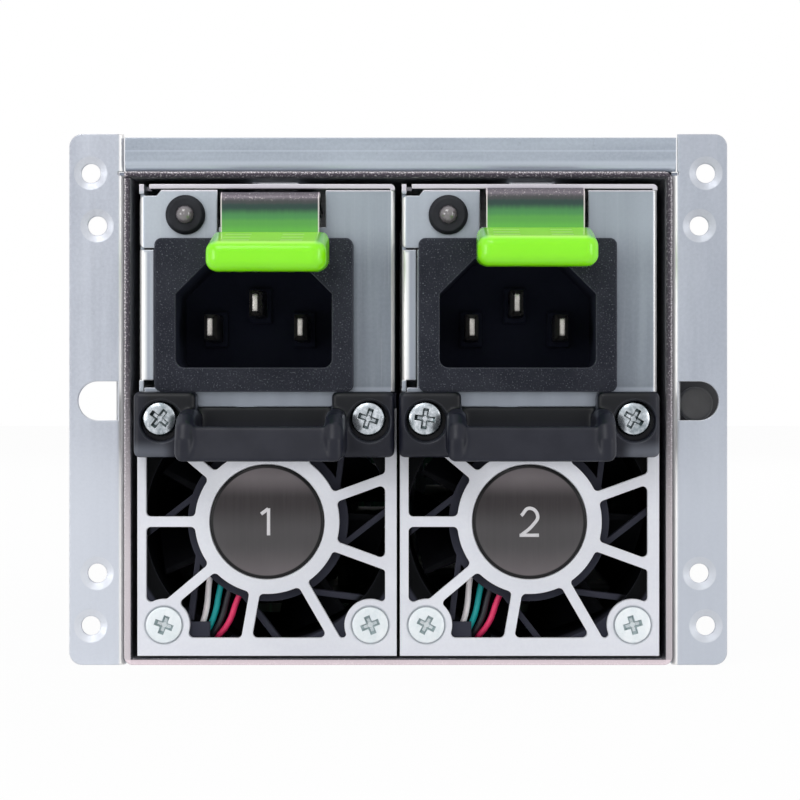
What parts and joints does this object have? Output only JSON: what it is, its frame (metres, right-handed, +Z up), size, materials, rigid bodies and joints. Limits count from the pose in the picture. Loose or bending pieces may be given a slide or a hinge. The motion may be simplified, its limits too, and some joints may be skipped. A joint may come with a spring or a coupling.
{
  "type": "hot swap server power supply",
  "caption": "Redundant server power supply: a flanged sheet-metal cage with side-by-side hot-swap modules, each with a mains inlet, green release latch, pull handle and guarded fan.",
  "frame": {"origin": "centre of the outer flange hole pattern, on the front face of the side flanges", "axes": "+X to the right as seen from outside, +Y into the chassis along the modules, +Z up"},
  "size_m": [0.102, 0.2434, 0.0822],
  "materials": {
    "cage_sheet": "folded zinc-plated sheet, satin",
    "galvanised_sheet": "bright galvanised sheet with faint drawn streaks",
    "case_sheet": "satin zinc-plated sheet",
    "guard_paint": "pale plated stamping, satin",
    "badge_black": "satin dark disc",
    "fan_plastic": "black moulded plastic",
    "lead_insulation": "coloured lead insulation",
    "screw_zinc": "zinc-plated, bright",
    "handle_plastic": "smooth black moulding",
    "inlet_plastic": "black moulding, spark-eroded texture",
    "contact_metal": "plated contact blade",
    "clear_lens": "clear domed lens",
    "circuit_board": "green solder mask",
    "bare_aluminium": "mill-finish extrusion",
    "ferrite": "matt dark core",
    "capacitor_sleeve": "dark blue sleeve",
    "spring_steel": "polished spring strip",
    "green_plastic": "bright lime moulding, slightly translucent",
    "grommet_rubber": "matt rubber",
    "button_plastic": "dark grey plastic"
  },
  "bodies": {
    "cage": {"cage_body": "cage_sheet", "left_flange_bracket": "galvanised_sheet", "right_flange_bracket": "galvanised_sheet", "top_flange_bracket": "galvanised_sheet", "cage_rivets": "screw_zinc", "bay_divider": "cage_sheet", "rear_panel": "galvanised_sheet", "panel_screws": "screw_zinc", "cable_grommet": "grommet_rubber", "backplane_board": "circuit_board", "module_sockets": "inlet_plastic", "mute_switch_body": "button_plastic"},
    "mute_button": {"mute_button": "button_plastic"},
    "left_module": {"left_case_tray": "case_sheet", "left_case_cover": "case_sheet", "left_fan_guard": "guard_paint", "left_guard_badge": "badge_black", "left_fan_frame": "fan_plastic", "left_fan_leads": "lead_insulation", "left_fan_screws": "screw_zinc", "left_pull_handle": "handle_plastic", "left_handle_screws": "screw_zinc", "left_inlet_shell": "inlet_plastic", "left_inlet_pins": "contact_metal", "left_led_holder": "inlet_plastic", "left_led": "clear_lens", "left_latch_rivets": "screw_zinc", "left_main_board": "circuit_board", "left_heat_sinks": "bare_aluminium", "left_transformer": "ferrite", "left_bulk_capacitor": "capacitor_sleeve", "left_line_filter": "circuit_board", "left_case_screws": "screw_zinc"},
    "left_latch": {"left_latch_strip": "spring_steel", "left_latch_tab": "green_plastic"},
    "left_fan": {"left_fan_rotor": "fan_plastic"},
    "right_module": {"right_case_tray": "case_sheet", "right_case_cover": "case_sheet", "right_fan_guard": "guard_paint", "right_guard_badge": "badge_black", "right_fan_frame": "fan_plastic", "right_fan_leads": "lead_insulation", "right_fan_screws": "screw_zinc", "right_pull_handle": "handle_plastic", "right_handle_screws": "screw_zinc", "right_inlet_shell": "inlet_plastic", "right_inlet_pins": "contact_metal", "right_led_holder": "inlet_plastic", "right_led": "clear_lens", "right_latch_rivets": "screw_zinc", "right_main_board": "circuit_board", "right_heat_sinks": "bare_aluminium", "right_transformer": "ferrite", "right_bulk_capacitor": "capacitor_sleeve", "right_line_filter": "circuit_board", "right_case_screws": "screw_zinc"},
    "right_latch": {"right_latch_strip": "spring_steel", "right_latch_tab": "green_plastic"},
    "right_fan": {"right_fan_rotor": "fan_plastic"}
  },
  "joints": [
    {"name": "mute_button_press", "type": "slide", "parent": "cage", "child": "mute_button", "axis": [0, 1, 0], "range_m": [0, 0.0015], "stiffness_N_per_m": 600, "springref_m": -0.0005},
    {"name": "left_module_slide", "type": "slide", "parent": "cage", "child": "left_module", "axis": [0, -1, 0], "range_m": [0, 0.2]},
    {"name": "left_latch_press", "type": "hinge", "parent": "left_module", "child": "left_latch", "pos_m": [-0.0196, 0.042, 0.0322], "axis": [1, 0, 0], "range_deg": [0, 3], "stiffness_Nm_per_rad": 10},
    {"name": "left_fan_spin", "type": "hinge", "parent": "left_module", "child": "left_fan", "pos_m": [-0.02035, 0.015, -0.01895], "axis": [0, -1, 0], "continuous": true},
    {"name": "right_module_slide", "type": "slide", "parent": "cage", "child": "right_module", "axis": [0, -1, 0], "range_m": [0, 0.2]},
    {"name": "right_latch_press", "type": "hinge", "parent": "right_module", "child": "right_latch", "pos_m": [0.0211, 0.042, 0.0322], "axis": [1, 0, 0], "range_deg": [0, 3], "stiffness_Nm_per_rad": 10},
    {"name": "right_fan_spin", "type": "hinge", "parent": "right_module", "child": "right_fan", "pos_m": [0.02035, 0.015, -0.01895], "axis": [0, -1, 0], "continuous": true}
  ]
}
